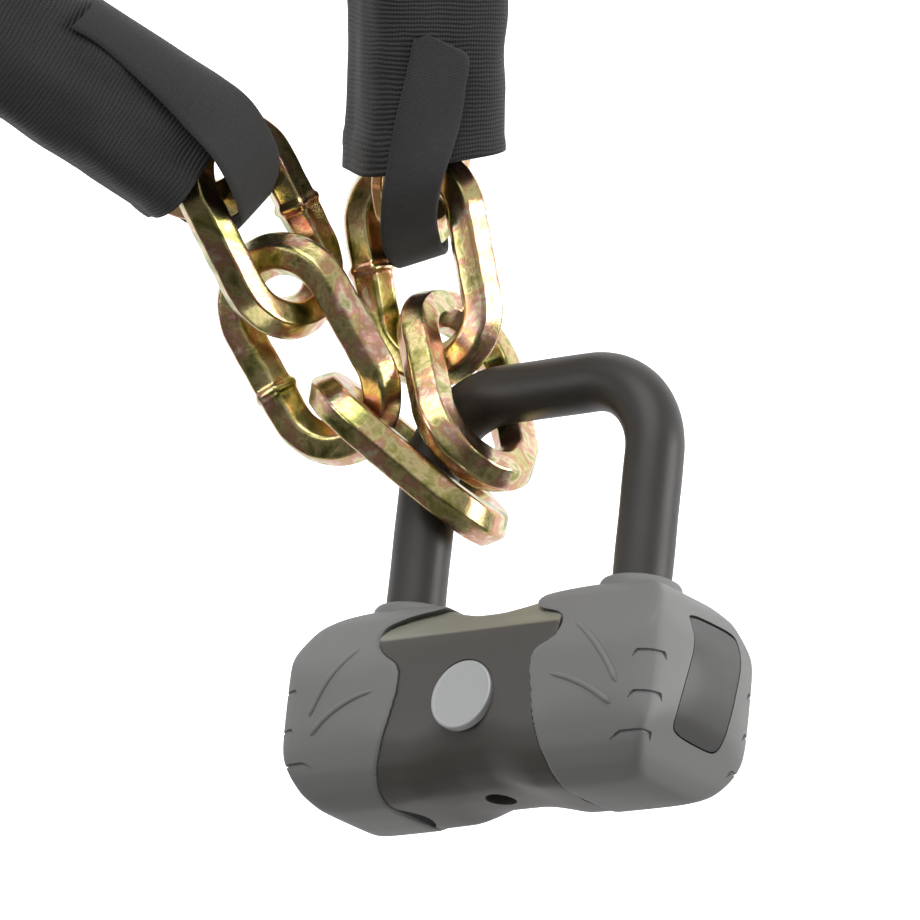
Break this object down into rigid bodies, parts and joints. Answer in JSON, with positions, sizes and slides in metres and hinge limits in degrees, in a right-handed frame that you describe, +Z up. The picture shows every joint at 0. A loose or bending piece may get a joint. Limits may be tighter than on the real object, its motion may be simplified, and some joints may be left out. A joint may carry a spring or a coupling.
{
  "type": "chain lock",
  "caption": "Waisted padlock body with a coated steel shackle closing a loop of heavy hexagonal-bar chain inside a ribbed fabric sleeve.",
  "frame": {"origin": "midway between the shackle legs, level with the tops of the leg collars", "axes": "+Z up along the shackle legs, +X along the lock body towards the keyway end, -Y the front face with the badge"},
  "size_m": [0.2223, 0.3272, 0.4383],
  "materials": {
    "sleeve_fabric": "ribbed woven nylon",
    "webbing": "fine twill webbing",
    "zinc_chain": "yellow passivated zinc with green and pink iridescence",
    "shackle_steel": "ground hardened steel",
    "shackle_vinyl": "matt black coating",
    "cast_core": "as cast",
    "cover_bronze": "satin bronze grey",
    "bumper_grey": "soft matt grey",
    "badge_silver": "satin dome",
    "seal_rubber": "matt",
    "cylinder_brass": "machined",
    "works_steel": "machined",
    "cover_dark": "fine satin"
  },
  "bodies": {
    "sleeve": {"sleeve": "sleeve_fabric", "strap_left": "webbing", "strap_right": "webbing", "sleeved_links": "zinc_chain", "mouth_link_left": "zinc_chain", "mouth_link_right": "zinc_chain"},
    "link_left_upper": {"link_left_upper": "zinc_chain"},
    "link_left_middle": {"link_left_middle": "zinc_chain"},
    "link_left_lower": {"link_left_lower": "zinc_chain"},
    "link_right_upper": {"link_right_upper": "zinc_chain"},
    "link_right_lower": {"link_right_lower": "zinc_chain"},
    "shackle": {"shackle": "shackle_steel", "shackle_coating": "shackle_vinyl"},
    "lock_body": {"lock_core": "cast_core", "centre_cover": "cover_bronze", "left_bumper": "bumper_grey", "right_bumper": "bumper_grey", "badge": "badge_silver", "leg_seals": "seal_rubber", "cylinder_housing": "cylinder_brass", "drill_guard": "works_steel", "retaining_pin": "works_steel", "cover_screws": "works_steel", "cover_hinge_pin": "works_steel"},
    "plug": {"cylinder_plug": "cylinder_brass", "detainer_discs": "cylinder_brass", "disc_spacers": "works_steel", "sidebar": "works_steel", "locking_cam": "works_steel"},
    "bolt_carriage": {"bolt_carriage": "works_steel", "locking_bolts": "works_steel"},
    "keyway_cover": {"keyway_cover": "cover_dark"}
  },
  "joints": [
    {"name": "left_strand_swing", "type": "hinge", "parent": "sleeve", "child": "link_left_upper", "pos_m": [-0.06099, -0.05287, 0.09595], "axis": [0.5417, 0.8405, 0.0012], "range_deg": [-20, 12]},
    {"name": "right_strand_swing", "type": "hinge", "parent": "sleeve", "child": "link_right_upper", "pos_m": [-0.06099, -0.05287, 0.09595], "axis": [0.5417, 0.8405, 0.0012], "range_deg": [-20, 12], "deforming": ["strap_left", "strap_right"]},
    {"name": "left_middle_swing", "type": "hinge", "parent": "link_left_upper", "child": "link_left_middle", "pos_m": [-0.05891, -0.02976, 0.07108], "axis": [0.6209, 0.772, -0.1361], "range_deg": [-6, 10]},
    {"name": "right_lower_swing", "type": "hinge", "parent": "link_right_upper", "child": "link_right_lower", "pos_m": [-0.05891, -0.02976, 0.07108], "axis": [0.6209, 0.772, -0.1361], "range_deg": [-6, 10]},
    {"name": "lower_link_turn", "type": "hinge", "parent": "link_left_middle", "child": "link_left_lower", "pos_m": [-0.033, 0, 0.025], "axis": [0, 0, 1], "range_deg": [-5, 6]},
    {"name": "lock_swivel", "type": "hinge", "parent": "link_right_lower", "child": "shackle", "pos_m": [-0.02052, 0.0072, 0.04851], "axis": [0.2301, 0.3811, 0.8954], "range_deg": [0, 10]},
    {"name": "body_pull", "type": "slide", "parent": "shackle", "child": "lock_body", "axis": [0, 0, -1], "range_m": [0, 0.03]},
    {"name": "plug_turn", "type": "hinge", "parent": "lock_body", "child": "plug", "pos_m": [0, 0, -0.031], "axis": [-1, 0, 0], "range_deg": [0, 90]},
    {"name": "bolt_travel", "type": "slide", "parent": "lock_body", "child": "bolt_carriage", "axis": [0, 1, 0], "range_m": [0, 0.0043]},
    {"name": "cover_swing", "type": "hinge", "parent": "lock_body", "child": "keyway_cover", "pos_m": [0.0508, 0, -0.0152], "axis": [0, -1, 0], "range_deg": [0, 100]}
  ],
  "couplings": [
    {"joint": "left_strand_swing", "follows": "right_strand_swing", "ratio": 1},
    {"joint": "right_lower_swing", "follows": "left_middle_swing", "ratio": 1},
    {"joint": "plug_turn", "follows": "bolt_travel", "rad_per_m": 365}
  ]
}
